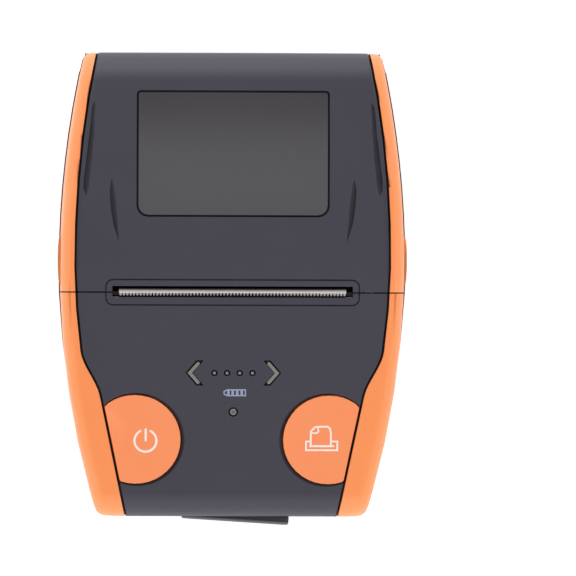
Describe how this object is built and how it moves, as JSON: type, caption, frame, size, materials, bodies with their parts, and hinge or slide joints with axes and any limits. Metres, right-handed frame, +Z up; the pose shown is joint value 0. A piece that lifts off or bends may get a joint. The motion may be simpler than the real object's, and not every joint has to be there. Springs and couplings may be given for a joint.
{
  "type": "portable receipt printer",
  "caption": "Handheld thermal receipt printer with a rear-hinged lid and window, tear blade, geared platen, sprung round keys, hinged port cover and battery door.",
  "frame": {"origin": "centre of the bounding box's bottom face, on the table under the flat underside", "axes": "+Y from the user's side, with the keys and the port cover, to the lid's hinge; +Z up; +X to the user's right"},
  "size_m": [0.0852, 0.115, 0.046],
  "materials": {
    "housing": "fine spark-eroded texture, moulded ABS",
    "trim": "orange moulded ABS, satin",
    "button": "orange moulded ABS, satin",
    "window": "smoked polycarbonate, polished",
    "light_pipe": "translucent polycarbonate",
    "steel": "stainless steel",
    "frame_steel": "zinc-plated sheet steel",
    "plated_steel": "nickel-plated steel",
    "aluminium": "extruded aluminium",
    "ceramic": "glazed alumina",
    "brass": "turned brass",
    "gear_plastic": "moulded acetal",
    "rubber": "moulded rubber",
    "black_plastic": "moulded black plastic",
    "circuit_board": "solder-masked glass epoxy",
    "battery_wrap": "shrink-wrapped pack"
  },
  "bodies": {
    "base": {"lower_housing": "housing", "upper_housing": "housing", "base_trim_left": "trim", "base_trim_right": "trim", "light_guide": "light_pipe", "status_light_guide": "light_pipe", "tear_blade": "steel", "hinge_pin": "steel", "head_spring_left": "steel", "head_spring_right": "steel", "mechanism_frame": "frame_steel", "motor_body": "plated_steel", "usb_socket": "plated_steel", "head_heatsink": "aluminium", "print_head": "ceramic", "paper_bucket": "black_plastic", "paper_sensor": "black_plastic", "power_switch": "black_plastic", "feed_switch": "black_plastic", "battery_contacts": "black_plastic", "dc_jack": "black_plastic", "main_board": "circuit_board", "key_board": "circuit_board", "battery_pack": "battery_wrap"},
    "lid": {"lid_shell": "housing", "lid_trim_left": "trim", "lid_trim_right": "trim", "window": "window", "platen_bush_left": "brass", "platen_bush_right": "brass"},
    "platen": {"platen_shaft": "steel", "platen_rubber": "rubber", "platen_gear": "gear_plastic"},
    "idler": {"idler_gear": "gear_plastic"},
    "pinion": {"motor_pinion": "brass"},
    "power_key": {"power_button": "button", "power_switch_plunger": "black_plastic"},
    "feed_key": {"feed_button": "button", "feed_switch_plunger": "black_plastic"},
    "cover": {"port_cover": "rubber"},
    "door": {"battery_door": "housing"}
  },
  "joints": [
    {"name": "lid_hinge", "type": "hinge", "parent": "base", "child": "lid", "pos_m": [0, 0.05531, 0.024], "axis": [-1, 0, 0], "range_deg": [0, 90]},
    {"name": "platen_spin", "type": "hinge", "parent": "lid", "child": "platen", "pos_m": [0, 0.00406, 0.033], "axis": [1, 0, 0], "continuous": true},
    {"name": "idler_spin", "type": "hinge", "parent": "base", "child": "idler", "pos_m": [0.0324, 0.00155, 0.02065], "axis": [1, 0, 0], "continuous": true},
    {"name": "pinion_spin", "type": "hinge", "parent": "base", "child": "pinion", "pos_m": [0.0324, -0.00371, 0.01191], "axis": [1, 0, 0], "continuous": true},
    {"name": "power_press", "type": "slide", "parent": "base", "child": "power_key", "axis": [0, 0.2144, -0.9767], "range_m": [0, 0.0005], "stiffness_N_per_m": 900, "springref_m": -0.0006},
    {"name": "feed_press", "type": "slide", "parent": "base", "child": "feed_key", "axis": [0, 0.2144, -0.9767], "range_m": [0, 0.0005], "stiffness_N_per_m": 900, "springref_m": -0.0006},
    {"name": "port_cover_hinge", "type": "hinge", "parent": "base", "child": "cover", "pos_m": [-0.01315, -0.05504, 0.01869], "axis": [0, 0, -1], "range_deg": [-3.6, 90]},
    {"name": "battery_door_hinge", "type": "hinge", "parent": "base", "child": "door", "pos_m": [0, -0.01624, 0.0013], "axis": [1, 0, 0], "range_deg": [0, 90]}
  ],
  "couplings": [
    {"joint": "idler_spin", "follows": "platen_spin", "ratio": -0.75},
    {"joint": "pinion_spin", "follows": "platen_spin", "ratio": 1.8}
  ]
}
